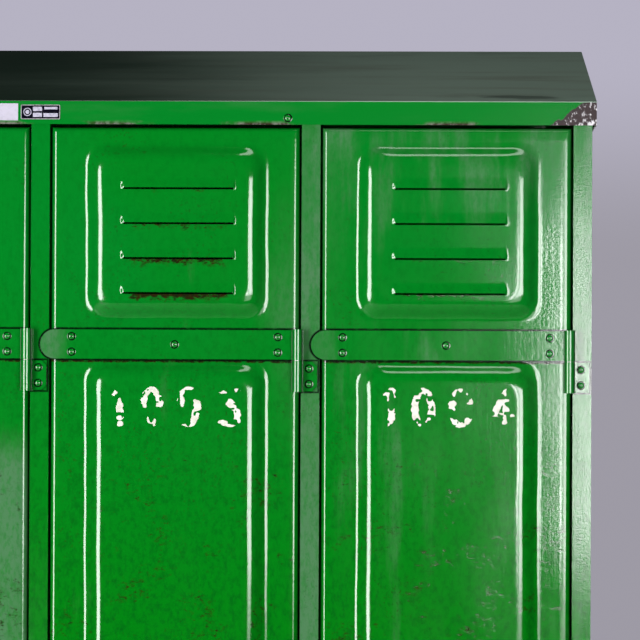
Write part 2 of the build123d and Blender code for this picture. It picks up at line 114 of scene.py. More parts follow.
def soft_noise(x, z, size, seed):
    """Smooth noise from -1 to 1 over a plane, with features of about the given size."""
    lattice = np.random.default_rng(seed).uniform(-1, 1, (LATTICE, LATTICE))
    u, v = np.asarray(x) / size, np.asarray(z) / size
    i, j = np.floor(u).astype(int), np.floor(v).astype(int)
    fu, fv = u - i, v - j
    fu, fv = fu * fu * (3 - 2 * fu), fv * fv * (3 - 2 * fv)

    def corner(a, b):
        return lattice[(i + a) % LATTICE, (j + b) % LATTICE]

    low = corner(0, 0) * (1 - fu) + corner(1, 0) * fu
    high = corner(0, 1) * (1 - fu) + corner(1, 1) * fu
    return low * (1 - fv) + high * fv


def smooth_step(low, high, value):
    """0 below low, 1 above high and a smooth rise between."""
    share = np.clip((value - low) / (high - low), 0, 1)
    return share * share * (3 - 2 * share)


def smooth_min(a, b, blend):
    """The lesser of two distances, rounded where they are nearly equal."""
    near = np.maximum(blend - np.abs(a - b), 0) / blend
    return np.minimum(a, b) - near * near * blend / 4


def add_object(name, mesh, materials, smooth=True):
    """A new object in the scene, with its materials."""
    made = bpy.data.objects.new(name, mesh)
    bpy.context.scene.collection.objects.link(made)
    if mesh.materials:
        mesh.materials.clear()
    for material in materials:
        mesh.materials.append(material)
    if smooth:
        mesh.polygons.foreach_set("use_smooth", [True] * len(mesh.polygons))
    return made


def store(mesh, name, values):
    """Keeps a number for each of a mesh's points, for its material to read."""
    made = mesh.attributes.new(name, "FLOAT", "POINT")
    made.data.foreach_set("value", np.asarray(values, np.float32))


def keep(piece, body, slot, *nodes):
    """Fastens a piece to its body and hides the CAD nodes that it stands for."""
    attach(piece, body)
    if nodes:
        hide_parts(*nodes)
    return piece


# ---- materials -------------------------------------------------------------------------
class Graph:
    """A short way to write a material's nodes."""

    def __init__(self, name):
        self.material = bpy.data.materials.new(name)
        self.material.use_nodes = True
        self.tree = self.material.node_tree
        self.shader = self.tree.nodes["Principled BSDF"]
        self.place = self.node("TexCoord").outputs["Object"]
        split = self.node("SeparateXYZ", {"Vector": self.place})
        self.x, self.y, self.z = split.outputs

    def node(self, kind, inputs=None, **settings):
        made = self.tree.nodes.new("ShaderNode" + kind)
        for key, value in settings.items():
            setattr(made, key, value)
        for key, value in (inputs or {}).items():
            if isinstance(value, bpy.types.NodeSocket):
                self.tree.links.new(value, made.inputs[key])
            else:
                made.inputs[key].default_value = value
        return made

    def noise(self, size, stretch=(1, 1, 1), detail=3.0, shift=0.0, rough=0.55):
        """Noise with features of about the given size, stretched along an axis."""
        scale = tuple(1 / (size * s) for s in stretch)
        placed = self.node("Mapping", {"Vector": self.place, "Location": (shift,) * 3, "Scale": scale})
        made = self.node("TexNoise", {"Vector": placed.outputs[0], "Scale": 1.0, "Detail": detail,
                                      "Roughness": rough})
        return made.outputs[0]

    def rise(self, value, low, high, start=0.0, end=1.0):
        """A smooth change from start to end as the value goes from low to high."""
        made = self.node("MapRange", {0: value, 1: low, 2: high, 3: start, 4: end},
                         interpolation_type="SMOOTHSTEP")
        return made.outputs[0]

    def band(self, value, low, high, soft):
        """1 between two values and 0 outside them."""
        return self.times(self.rise(value, low - soft, low + soft),
                          self.rise(value, high - soft, high + soft, 1.0, 0.0))

    def math(self, operation, a, b=0.0):
        return self.node("Math", {0: a, 1: b}, operation=operation).outputs[0]

    def times(self, a, b):
        return self.math("MULTIPLY", a, b)

    def either(self, a, b):
        return self.math("MAXIMUM", a, b)

    def blend(self, share, a, b):
        """A colour between two colours."""
        made = self.node("Mix", {0: share}, data_type="RGBA")
        for index, colour in ((6, a), (7, b)):
            if isinstance(colour, bpy.types.NodeSocket):
                self.tree.links.new(colour, made.inputs[index])
            else:
                made.inputs[index].default_value = (*colour, 1)
        return made.outputs[2]

    def blend_value(self, share, a, b):
        """A number between two numbers."""
        return self.node("Mix", {0: share, 2: a, 3: b}, data_type="FLOAT").outputs[0]

    def cell(self, start):
        """How far a place lies past the start of its column's cell."""
        shifted = self.math("ADD", self.x, 2 * PITCH - FIRST_X - start)
        return self.math("ADD", self.math("MODULO", shifted, PITCH), start)

    def length(self, a, b):
        joined = self.node("CombineXYZ", {0: a, 1: b})
        return self.node("VectorMath", {0: joined.outputs[0]}, operation="LENGTH").outputs["Value"]

    def attribute(self, name):
        return self.node("Attribute", attribute_name=name).outputs["Fac"]

    def set(self, **values):
        """Sets or links the shader's inputs; underscores stand for spaces."""
        for key, value in values.items():
            socket = self.shader.inputs[key.replace("_", " ")]
            if isinstance(value, bpy.types.NodeSocket):
                self.tree.links.new(value, socket)
            else:
                socket.default_value = value

    def bump(self, height, distance, strength=1.0, under=None):
        inputs = {"Height": height, "Distance": distance, "Strength": strength}
        if under is not None:
            inputs["Normal"] = under
        return self.node("Bump", inputs).outputs[0]


# linear colours of the paint and of what lies on it; the pale green also stands for a painted sheen of
# the lamps, and the darkest green is painted shade
GREEN = (0.0, 0.150, 0.0120)
YELLOW_GREEN = (0.0, 0.143, 0.003)
DEEP_GREEN = (0.0, 0.075, 0.004)
PALE_GREEN = (0.050, 0.150, 0.060)
RUST = (0.017, 0.0095, 0.001)
DIRT = (0.006, 0.012, 0.002)
PAINTED_SHADE = (0.0, 0.004, 0.001)


def enamel(name, scuffed_and_sheen=None, rusty=None, shaded=None, peel=0.00007, rough=0.10, chips=0.4,
           shift=0.0, grain=0.0045, dents=0.0):
    """Old gloss enamel: green with pale scuffs and a painted sheen of the lamps, painted shade where
    parts meet, brush marks, rust, specks and orange peel.
    """
    g = Graph(name)
    tone = g.rise(g.noise(0.35, detail=2, shift=shift), 0.35, 0.65)
    low_down = g.rise(g.z, 1.05, 1.72, 1.0, 0.0)
    colour = g.blend(g.either(g.times(tone, 0.4), low_down), GREEN, YELLOW_GREEN)
    mottle = g.rise(g.noise(0.008, (1, 1, 1.6), 6, shift + 13, 0.75), 0.42, 0.68, 0.0, 0.75)
    colour = g.blend(g.times(mottle, g.math("ADD", g.times(low_down, 0.7), 0.3)), colour, DEEP_GREEN)
    streaks = g.noise(0.03, (1, 1, 9), 5, shift + 3, 0.6)
    cloud = g.noise(0.13, (1, 1, 2), 4, shift + 7)
    # pale scuffs in streaks and clouds; a mask, where given, adds a painted sheen to them, the lamps'
    # reflection in the paint
    scuffs_and_sheen = g.rise(g.math("ADD", g.times(streaks, 0.5), g.times(cloud, 0.5)), 0.5, 0.68)
    if scuffed_and_sheen is not None:
        scuffs_and_sheen = g.rise(g.math("ADD", g.times(scuffs_and_sheen, 0.5), scuffed_and_sheen(g)), 0.25, 1.1)
    else:
        scuffs_and_sheen = g.times(scuffs_and_sheen, 0.15)
    pale_scuffs_and_sheen = g.times(scuffs_and_sheen, g.rise(g.noise(0.005, (1, 1, 2), 5, shift, 0.7), 0.3, 0.65, 0.5, 1.15))
    colour = g.blend(pale_scuffs_and_sheen, colour, PALE_GREEN)
    grime = g.rise(g.noise(0.0035, detail=4, shift=shift + 11), 0.58, 0.68)
    specks = g.times(grime, g.rise(g.noise(0.09, detail=2, shift=shift + 5), 0.48, 0.66, 0.0, chips))
    if rusty is not None:
        torn = g.noise(0.006, (1.8, 1, 1), 6, shift + 2, 0.75)
        worn = g.math("ADD", g.times(torn, 0.9), g.times(rusty(g), 0.40))
        specks = g.either(specks, g.rise(worn, 0.66, 0.84))
    rust = g.blend(g.rise(g.noise(0.006, detail=4, shift=1), 0.35, 0.65), RUST, DIRT)
    colour = g.blend(specks, colour, rust)
    # painted shade: near-black green where parts meet the sheet and in hollows, broken up by noise
    if shaded is not None:
        shade = g.times(shaded(g), g.rise(g.noise(0.008, detail=4, shift=shift + 1), 0.25, 0.5, 0.6, 1.0))
        colour = g.blend(shade, colour, PAINTED_SHADE)
    g.set(Base_Color=colour, IOR=1.5)
    gloss = g.rise(g.noise(0.05, (1, 1, 3), 4, shift), 0.3, 0.7, rough * 0.85, rough * 1.2)
    dull = g.math("ADD", gloss, g.times(pale_scuffs_and_sheen, 0.05))
    g.set(Roughness=g.either(dull, g.times(specks, 0.11)))
    surface = g.bump(g.noise(grain, detail=2, shift=shift), peel)
    if dents:
        surface = g.bump(g.noise(0.22, detail=1.5, shift=shift), dents, 1.0, surface)
    brushed = g.bump(g.noise(0.0025, (1, 1, 25), 3, shift + 9), 0.00002, 1.0, surface)
    g.set(Normal=g.bump(g.times(specks, -1.0), 0.00005, 0.5, brushed))
    return g.material


def metal(name, colour, rough, brushed=(1, 1, 1), grime=0.4):
    """Worn metal with brushing, grime and light scratches."""
    g = Graph(name)
    stain = g.rise(g.noise(0.012, detail=6, rough=0.65), 0.5, 0.75, 0.0, grime)
    dark = tuple(c * 0.25 for c in colour)
    g.set(Base_Color=g.blend(stain, colour, dark), Metallic=1.0)
    lines = g.noise(0.0012, brushed, 4)
    g.set(Roughness=g.rise(g.math("ADD", lines, stain), 0.3, 1.2, rough * 0.7, rough * 1.8))
    g.set(Normal=g.bump(lines, 0.00006, 0.6))
    return g.material


def matt(name, colour, second, size, rough=0.6, bump=0.0001):
    """A dull material with a second colour in soft blotches."""
    g = Graph(name)
    share = g.rise(g.noise(size, detail=5), 0.42, 0.66)
    g.set(Base_Color=g.blend(share, colour, second), IOR=1.45)
    g.set(Roughness=g.rise(g.noise(size / 3, detail=3), 0.3, 0.7, rough * 0.8, rough * 1.2))
    g.set(Normal=g.bump(g.noise(size / 8, detail=4), bump, 0.7))
    return g.material


def roof_top(g):
    """The slope's colour: dark paint that grows paler towards the right, and dark streaks."""
    across = g.rise(g.x, -0.12, 0.60)
    drift = g.noise(0.12, (3.5, 1, 1), 5, 3, 0.6)
    paler_right = g.rise(g.math("ADD", g.times(across, 0.8), g.times(drift, 0.45)), 0.15, 1.1)
    top = g.blend(paler_right, (0.0, 0.018, 0.004), (0.215, 0.300, 0.235))
    rusty = g.rise(g.noise(0.03, (9, 1, 1), 5, 6), 0.5, 0.7, 0.0, 0.35)
    top = g.blend(g.times(rusty, across), top, (0.10, 0.085, 0.06))
    blots = g.rise(g.noise(0.05, (2.5, 1.4, 1), 5, 4), 0.56, 0.74, 0.0, 0.3)
    # a dark patch near the front edge at the right end
    spot_x, spot_y = 0.615, -0.190
    spot = g.length(g.times(g.math("ADD", g.x, -spot_x), 0.4), g.math("ADD", g.y, -spot_y))
    ragged = g.times(g.math("ADD", g.noise(0.02, (2, 1, 1), 5), -0.5), 0.05)
    blots = g.either(blots, g.rise(g.math("ADD", spot, ragged), 0.012, 0.026, 0.7, 0.0))
    return g.blend(blots, top, (0.03, 0.045, 0.032))


def roof_enamel():
    """Dark paint on the roof's slope, paler towards the right, and green on its fascia, with a torn
    corner.
    """
    g = Graph("roof_enamel")
    top = roof_top(g)
    # the fascia and the gables lie below the slope's plane
    front = ROOF_LOW.y
    height = g.math("ADD", g.z, g.times(g.y, -ROOF_SLOPE))
    edge = FASCIA_TOP - ROOF_SLOPE * front
    over = g.rise(height, edge - 0.0010, edge - 0.0006)
    sides = g.blend(g.rise(g.noise(0.03, (6, 1, 1), 5), 0.5, 0.75, 0.0, 0.2), GREEN, PALE_GREEN)
    # the corner at the right end of the fascia is torn off along a ragged diagonal
    fall = 1.45
    diagonal = g.math("ADD", g.x, g.times(g.z, -fall))
    corner = ROOF_HIGH.x - 0.014 - fall * FASCIA_TOP
    ragged = g.times(g.math("ADD", g.noise(0.012, detail=5), -0.5), 0.03)
    past = g.math("ADD", diagonal, ragged)
    torn = g.rise(past, corner - 0.001, corner + 0.001)
    reach = g.math("ADD", g.y, g.times(ragged, 1.5))
    torn = g.times(torn, g.rise(reach, front + 0.022, front + 0.024, 1.0, 0.0))
    flakes = g.noise(0.006, (1, 1, 1.5), 6, 0, 0.7)
    bare = g.blend(g.rise(flakes, 0.53, 0.62), (0.020, 0.008, 0.010), (0.62, 0.60, 0.63))
    bare = g.blend(g.rise(past, corner, corner + 0.006, 0.8, 0.0), bare, (0.008, 0.004, 0.004))
    # the paint is worn along the fascia's lower edge
    lower = g.rise(g.z, 1.7695, 1.7755, 1.0, 0.0)
    wear = g.times(lower, g.rise(g.noise(0.03, (4, 1, 1), 5, 9), 0.47, 0.56))
    worn = g.blend(g.rise(flakes, 0.4, 0.6), (0.03, 0.016, 0.012), (0.14, 0.15, 0.12))
    sides = g.blend(wear, sides, worn)
    g.set(Base_Color=g.blend(over, g.blend(torn, sides, bare), top))
    g.set(Roughness=g.blend_value(over, g.rise(torn, 0, 1, 0.12, 0.72), 0.42))
    g.set(Normal=g.bump(flakes, 0.0002, torn, g.bump(g.noise(0.0045, detail=2), 0.00006)))
    return g.material


def outside_strap(g):
    """Distance outside a strap's outline; it is negative on the strap."""
    past_tip = g.math("MINIMUM", g.math("ADD", g.cell(STRAP_CELL), -TIP_X), 0.0)
    off = [g.math("ABSOLUTE", g.math("ADD", g.z, -z)) for z in STRAP_Z]
    return g.math("ADD", g.length(past_tip, g.math("MINIMUM", *off)), -STRAP_RADIUS)


def outside_leaf(g):
    """Distance outside the outline of a hinge's fixed leaf."""
    past = g.math("ADD", g.cell(LEAF_CELL), -AXIS_X - LEAF_MIDDLE[0])
    across = g.math("ADD", g.math("ABSOLUTE", past), -LEAF_HALF[0])
    off = [g.math("ABSOLUTE", g.math("ADD", g.z, -z - LEAF_MIDDLE[1])) for z in STRAP_Z]
    along = g.math("ADD", g.math("MINIMUM", *off), -LEAF_HALF[1])
    return g.either(across, along)


# a band of painted shade along an outline, where one part meets another
SHADE_BAND = (-0.0006, 0.0016, 0.0011)  # inner and outer edge and softness, from an outline


def shade_around_hinge(g):
    """Painted shade on the sheet's outer face around a strap and a hinge leaf, where they meet it."""
    near = g.math("MINIMUM", outside_strap(g), outside_leaf(g))
    outer_face = g.rise(g.y, FACE_Y + 0.00102, FACE_Y + 0.00118, 1.0, 0.0)
    return g.times(g.band(near, *SHADE_BAND), outer_face)


def shade_around_leaf(g):
    """Painted shade on the sheet around a hinge leaf."""
    return g.band(outside_leaf(g), *SHADE_BAND)


def beside_axis(g):
    """Distance to the left or right of the hinge's axis."""
    return g.math("ABSOLUTE", g.math("ADD", g.cell(LEAF_CELL), -AXIS_X))


def knuckle_shade(g, beside):
    """Painted shade on the two sides of a knuckle, where it meets the sheet."""
    return g.rise(beside, 0.0042, 0.0062, 0.0, 0.6)


def shade_on_hinge(g):
    """Painted shade along the edges of a strap and on the sides of its knuckle."""
    edge = g.rise(outside_strap(g), -0.0018, -0.0005)
    proud = g.rise(g.y, FACE_Y - 0.0055, FACE_Y - 0.0045, 1.0, 0.0)
    knuckle = g.times(knuckle_shade(g, beside_axis(g)), proud)
    return g.either(g.times(edge, g.math("SUBTRACT", 1.0, proud)), knuckle)


def shade_on_leaf(g):
    """Painted shade along the edges of a hinge leaf and on the sides of its knuckle."""
    edge = g.rise(outside_leaf(g), -0.0014, -0.0004)
    beside = beside_axis(g)
    knuckle = g.times(knuckle_shade(g, beside), g.rise(beside, 0.0075, 0.0080, 1.0, 0.0))
    return g.either(g.times(edge, g.rise(beside, 0.009, 0.010)), knuckle)


def door_rust(g):
    """Rust below the louvres' slits and the straps, and in patches on the lower fields."""
    down = g.math("SUBTRACT", DOOR_TOP, g.z)
    across = g.math("ABSOLUTE", g.math("ADD", g.cell(-PITCH / 2), -LOUVRE_X))
    total = 0.0
    for first in LOUVRE_FIRST:
        past = g.math("ADD", down, -first)
        below = g.math("MODULO", g.math("ADD", past, 10 * LOUVRE_PITCH), LOUVRE_PITCH)
        in_field = g.band(past, -0.0005, (LOUVRE_COUNT - 0.4) * LOUVRE_PITCH, 0.0005)
        amount = g.rise(past, -0.01, 0.15, 0.5, 1.05)
        total = g.either(total, g.times(g.times(in_field, amount), g.rise(below, 0.0, 0.021, 1.0, 0.0)))
    total = g.times(total, g.rise(across, LOUVRE_HALF - 0.018, LOUVRE_HALF, 1.0, 0.0))
    # the third door from the left has the most of it
    from_third = g.math("ABSOLUTE", g.math("ADD", g.x, -FIRST_X - 2 * PITCH))
    total = g.times(total, g.rise(from_third, 0.15, 0.2, 1.0, 0.6))
    for z in STRAP_Z:
        below = g.math("SUBTRACT", z - STRAP_RADIUS, g.z)
        total = g.either(total, g.times(g.band(below, -0.001, 0.004, 0.0015), 0.85))
    patches = g.rise(g.noise(0.06, detail=3, shift=2), 0.4, 0.65, 0.16, 0.56)
    patches = g.times(g.rise(down, 0.36, 0.46), g.times(patches, g.rise(g.x, -0.2, -0.1, 1.12, 1.0)))
    return g.either(total, patches)


def post_scuffs_and_sheen(g):
    """The posts are paler low down, and towards the right, where a painted sheen of the lamps is added
    to the scuffs.
    """
    return g.math("ADD", g.rise(g.z, 1.1, 1.6, 0.4, 0.0), g.rise(g.x, 0.0, 0.35, 0.0, 0.65))


def strap_scuffs_and_sheen(g):
    """The straps are paler at their tips, and towards the right, where a painted sheen of the lamps is
    added to the scuffs.
    """
    return g.either(g.rise(g.cell(STRAP_CELL), TIP_X, TIP_X + 0.035, 0.6, 0.0),
                    g.rise(g.x, 0.25, 0.68, 0.05, 0.4))


GLOSS = enamel("gloss_enamel", dents=0.0018)
POST_GLOSS = enamel("post_enamel", shift=20, shaded=shade_around_hinge, scuffed_and_sheen=post_scuffs_and_sheen)
# the right post is paler higher up: a painted sheen of the right lamps
HAMMERED = enamel("hammered_enamel", peel=0.000055, rough=0.12, shift=31, grain=0.0026,
                  scuffed_and_sheen=lambda g: g.rise(g.z, 1.0, 1.35, 0.2, 0.5), shaded=shade_around_leaf)
STRAP_GLOSS = enamel("strap_enamel", shift=42, shaded=shade_on_hinge, scuffed_and_sheen=strap_scuffs_and_sheen)
# the hinge leaves are paler towards the right: a painted sheen of the right lamps
LEAF_GLOSS = enamel("leaf_enamel", shift=45, shaded=shade_on_leaf,
                    scuffed_and_sheen=lambda g: g.rise(g.x, 0.25, 0.68, 0.15, 0.4))
DOOR_GLOSS = enamel("door_enamel", peel=0.00005, shift=50, rusty=door_rust, shaded=shade_around_hinge,
                    scuffed_and_sheen=lambda g: g.attribute("scuff_and_sheen"))
RIVET_GLOSS = enamel("rivet_enamel", shift=61, shaded=lambda g: g.attribute("shade"))
STEEL = metal("dull_steel", (0.45, 0.44, 0.42), 0.4)
CHROME = metal("worn_chrome", (0.68, 0.68, 0.67), 0.22, (1, 1, 14), 0.3)
BRASS = metal("key_brass", (0.62, 0.47, 0.22), 0.3, (1, 1, 8))
PLATE_METAL = matt("plate_metal", (0.27, 0.26, 0.28), (0.16, 0.15, 0.16), 0.004, 0.3)
PLATE_BLACK = matt("plate_black", (0.002, 0.002, 0.006), (0.006, 0.005, 0.010), 0.006, 0.12)
PLATE_WHITE = matt("plate_white", (0.40, 0.38, 0.47), (0.26, 0.25, 0.32), 0.004, 0.3)
ROOF = roof_enamel()
RUBBER = matt("foot_rubber", (0.012, 0.012, 0.012), (0.035, 0.034, 0.032), 0.02, 0.7)
LABEL_PAPER = matt("label_paper", (0.43, 0.405, 0.49), (0.36, 0.345, 0.40), 0.02, 0.3)
NUMBER_PAINT = matt("number_paint", (0.62, 0.61, 0.55), (0.50, 0.49, 0.41), 0.01, 0.35, 0.0002)


# ---- doors -----------------------------------------------------------------------------
def slope_height(inside):
    """Height of a raised field at a distance inside its outline."""
    foot_run = FOOT_RADIUS * math.sin(SLOPE_ANGLE)
    foot_rise = FOOT_RADIUS * (1 - math.cos(SLOPE_ANGLE))
    crown_run = CROWN_RADIUS * math.sin(SLOPE_ANGLE)
    crown_rise = CROWN_RADIUS * (1 - math.cos(SLOPE_ANGLE))
    straight = (FIELD_RISE - foot_rise - crown_rise) / math.tan(SLOPE_ANGLE)
    full = foot_run + straight + crown_run
    t = np.clip(inside, 0, full)
    foot = FOOT_RADIUS - np.sqrt(FOOT_RADIUS ** 2 - np.minimum(t, foot_run) ** 2)
    climb = np.clip(t - foot_run, 0, straight) * math.tan(SLOPE_ANGLE)
    rest = np.clip(full - t, 0, crown_run)
    crown = crown_rise - (CROWN_RADIUS - np.sqrt(CROWN_RADIUS ** 2 - rest ** 2))
    return foot + climb + np.where(t > foot_run + straight, crown, 0)


def louvre_height(x, down):
    """Height of the hoods above the slits."""
    length = np.where(x < LOUVRE_X, *LOUVRE_ENDS)
    ends = np.clip((LOUVRE_HALF - np.abs(x - LOUVRE_X)) / length, 0, 1)
    ends = np.sin(ends * math.pi / 2)
    height = np.zeros_like(x)
    for slit in SLITS:
        above = (slit - down) / LOUVRE_HEIGHT
        hood = np.where(above >= 0, smooth_step(0, 1, 1 - above), 0)
        height = np.maximum(height, LOUVRE_RISE * hood * ends)
    return height


def door_surface(x, down, seed):
    """How far the door's outer surface stands in front of its flat face."""
    # the fields' outlines wander a little, and the flat sheet is softly dented
    wave = 0.0009 * soft_noise(x * 0.4, down, 0.07, seed) + 0.0005 * soft_noise(x, down, 0.03, seed + 1)
    height = np.zeros_like(x)
    for top, bottom in FIELDS:
        across = FIELD_HALF - np.abs(x - FIELD_X)
        along = (bottom - top) / 2 - np.abs(down - (top + bottom) / 2)
        inside = smooth_min(across, along, CORNER_BLEND)
        height = np.maximum(height, slope_height(inside + np.where(inside > -0.004, wave, 0)))
    height = height + louvre_height(x, down)
    edge = np.minimum(DOOR_HALF - np.abs(x), np.minimum(down, DOOR_HEIGHT - down))
    dent = 0.0005 * soft_noise(x, down, 0.16, seed + 2) + 0.0002 * soft_noise(x, down, 0.05, seed + 3)
    height = height + dent * smooth_step(0.004, 0.09, edge)
    fold = np.clip(FOLD_RADIUS - edge, 0, FOLD_RADIUS)
    return height - (FOLD_RADIUS - np.sqrt(np.maximum(FOLD_RADIUS ** 2 - fold ** 2, 0)))


def graded(low, high, coarse, zones, marks=()):
    """Grid lines from low to high: coarse, but finer inside the zones, and with lines at marks."""
    stops = sorted({low, high, *marks, *(z for a, b, _ in zones for z in (a, b) if low < z < high)})
    lines = []
    for a, b in zip(stops, stops[1:]):
        middle = (a + b) / 2
        step = min([coarse] + [s for za, zb, s in zones if za <= middle <= zb])
        lines += list(np.linspace(a, b, max(1, math.ceil((b - a) / step - 1e-6)), endpoint=False))
    return np.array(lines + [high])


COARSE_ACROSS, COARSE_DOWN = 0.009, 0.012  # widest grid steps on a door's face
SLOPE_STEPS = ((-0.002, 0.027, 0.0021), (0.027, 0.050, 0.004))  # from a field's outline, inwards
LOUVRE_END_STEP = 0.0011
HOOD_ZONE, HOOD_STEP = 0.016, 0.0017  # fine grid lines above each slit


def door_lines():
    """The grid lines of a door's face, across and down."""
    bend = [FOLD_RADIUS * (1 - math.cos(math.radians(a))) for a in (15, 30, 45, 60, 75, 90)]
    across_zones, down_zones = [], []
    for side in (-1, 1):
        outline = FIELD_X + side * FIELD_HALF
        for near, far, step in SLOPE_STEPS:
            ends = sorted((outline - side * near, outline - side * far))
            across_zones.append((*ends, step))
        end = LOUVRE_X + side * LOUVRE_HALF
        across_zones.append((*sorted((end + side * 0.001, end - side * 0.011)), LOUVRE_END_STEP))
    for top, bottom in FIELDS:
        for edge, way in ((top, 1), (bottom, -1)):
            for near, far, step in SLOPE_STEPS:
                down_zones.append((*sorted((edge + way * near, edge + way * far)), step))
    for slit in SLITS:
        down_zones.append((slit - HOOD_ZONE, slit - SLIT_HALF, HOOD_STEP))
    marks_down = [s + shift for s in SLITS for shift in (-SLIT_HALF, SLIT_HALF, 2 * SLIT_HALF)]
    hole = lock_hole()
    across = graded(-DOOR_HALF, DOOR_HALF, COARSE_ACROSS, across_zones,
                    [side * (DOOR_HALF - b) for b in bend for side in (-1, 1)] + hole[:2])
    down = graded(0, DOOR_HEIGHT, COARSE_DOWN, down_zones,
                  bend + [DOOR_HEIGHT - b for b in bend] + marks_down + hole[2:])
    return across, down


def lock_hole():
    """The opening for the lock case: left, right, top and bottom on the door's face."""
    middle = door_x(1)
    return [LOCK_CASE_LOW.x - middle, LOCK_CASE_HIGH.x - middle,
            DOOR_TOP - LOCK_CASE_HIGH.z, DOOR_TOP - LOCK_CASE_LOW.z]


def door_scuff_and_sheen(x, down, n):
    """How pale a door's face is, from 0 to 1: scuffs, with a painted sheen of the lamps towards the
    right.
    """
    right = smooth_step(0.06, 0.15, x)
    low = smooth_step(0.33, 0.50, down)
    at_right = {1: 0.2, 2: 0.1, 3: 0.55, 4: 0.2}[n] * (1 - 0.6 * low)
    lower = {1: 1.35, 2: 1.35, 3: 0.1, 4: -0.12}[n]
    scuff_and_sheen = at_right * right + lower * low
    # the fourth door is paler all over: a painted sheen of the right lamps, with scuffs
    if n == 4:
        scuff_and_sheen += 0.32 + 0.45 * smooth_step(0.09, 0.14, -x) * (1 - low)
    return scuff_and_sheen * (0.75 + 0.5 * soft_noise(x, down, 0.12, n + 60))


def face_with_openings(across, down, index):
    """The faces of a door's front grid, without those in the slits and the lock's opening."""
    left, right, top, bottom = lock_hole()
    slit_left = LOUVRE_X - LOUVRE_HALF + SLIT_ENDS[0]
    slit_right = LOUVRE_X + LOUVRE_HALF - SLIT_ENDS[1]
    faces = []
    for r in range(len(down) - 1):
        middle = (down[r] + down[r + 1]) / 2
        in_slit = any(abs(middle - s) < SLIT_HALF for s in SLITS)
        in_hole = top < middle < bottom
        for c in range(len(across) - 1):
            at = (across[c] + across[c + 1]) / 2
            if in_slit and slit_left < at < slit_right:
                continue
            if in_hole and left < at < right:
                continue
            faces.append((index[r, c], index[r + 1, c], index[r + 1, c + 1], index[r, c + 1]))
    return faces


def folded_edges(points, ring, n):
    """Points and faces of a door's flanges and lips, behind the ring of points at its rim."""
    middle = np.array([door_x(n), 0, DOOR_TOP - DOOR_HEIGHT / 2])
    halves = np.array([DOOR_HALF, 1, DOOR_HEIGHT / 2])
    bend = 0.002
    loops = ((0, DOOR_DEPTH / 2), (0, DOOR_DEPTH - bend), (bend * 0.3, DOOR_DEPTH - bend * 0.3),
             (bend, DOOR_DEPTH), (LIP / 2, DOOR_DEPTH), (LIP, DOOR_DEPTH))
    added, faces = [], []
    last = ring
    count = len(points)
    for inset, depth in loops:
        loop = points[ring] - middle
        loop *= 1 - inset / halves * np.array([1, 0, 1])
        loop += middle
        loop[:, 1] = FACE_Y + depth
        added.append(loop)
        fresh = list(range(count, count + len(ring)))
        for k in range(len(ring)):
            m = (k + 1) % len(ring)
            faces.append((last[k], last[m], fresh[m], fresh[k]))
        last = fresh
        count += len(ring)
    return added, faces


def door_skin(n):
    """One pressed door: folded edges, raised fields, louvres with open slits, flanges and lips."""
    across, down = door_lines()
    x, d = np.meshgrid(across, down)
    height = door_surface(x, d, 100 * n)
    points = np.stack([x + door_x(n), FACE_Y - height, DOOR_TOP - d], -1).reshape(-1, 3)
    index = np.arange(x.size).reshape(x.shape)
    ring = [*index[0, :-1], *index[:-1, -1], *index[-1, :0:-1], *index[:0:-1, 0]]
    added, edge_faces = folded_edges(points, ring, n)
    faces = face_with_openings(across, down, index) + edge_faces
    everything = np.concatenate([points, *added])
    mesh = bpy.data.meshes.new(f"door_skin_{n}")
    mesh.from_pydata(everything.tolist(), [], [tuple(int(i) for i in f) for f in faces])
    store(mesh, "scuff_and_sheen", door_scuff_and_sheen(everything[:, 0] - door_x(n), DOOR_TOP - everything[:, 2], n))
    skin = add_object(f"door_skin_{n}", mesh, [DOOR_GLOSS])
    uses = np.bincount([loop.edge_index for loop in mesh.loops], minlength=len(mesh.edges))
    sharp = mesh.attributes.new("sharp_edge", "BOOLEAN", "EDGE")
    sharp.data.foreach_set("value", uses == 1)
    solid = skin.modifiers.new("sheet", "SOLIDIFY")
    solid.thickness = SHEET
    solid.offset = -1
    keep(skin, f"door_{n}", "green_paint", f"door_panel_{n}")


# ---- painted door numbers --------------------------------------------------------------
NUMBER_TOP = 0.3345  # below the door's top edge
NUMBER_HEIGHT = 0.052
NUMBER_WIDTH = 0.022
NUMBER_STEP = 0.0007
DIGIT_X = (-0.070, -0.029, 0.019, 0.072)
STROKE_HALF = 0.0046
# strokes as points across (-1 to 1) and down (0 to 1)
ROUND = [(math.sin(a), 0.5 - 0.5 * math.cos(a)) for a in np.linspace(0, 2 * math.pi, 21)]
DIGITS = {
    "0": [ROUND],
    "1": [[(-0.5, 0.15), (0, 0), (0, 1)]],
    "2": [[(-1, 0.2), (-0.5, 0.02), (0.5, 0.02), (1, 0.25), (0.6, 0.55), (-1, 1), (1, 1)]],
    "3": [[(-1, 0.05), (0.9, 0.05), (0, 0.42), (0.9, 0.6), (0.8, 0.9), (0, 1), (-1, 0.92)]],
    "4": [[(0.5, 1), (0.5, 0), (-1, 0.68), (1, 0.68)]],
}


def stroke_distance(x, z, strokes):
    """Distance to a digit's strokes, where level strokes count as thinner."""
    flat = 1.7
    best = np.full_like(x, 1.0)
    for stroke in strokes:
        points = [(a * NUMBER_WIDTH / 2, b * (NUMBER_HEIGHT - 0.006) + 0.003) for a, b in stroke]
        for (ax, az), (bx, bz) in zip(points, points[1:]):
            dx, dz = bx - ax, (bz - az) * flat
            px, pz = x - ax, (z - az) * flat
            along = np.clip((px * dx + pz * dz) / (dx * dx + dz * dz), 0, 1)
            best = np.minimum(best, np.hypot(px - along * dx, pz - along * dz))
    return best


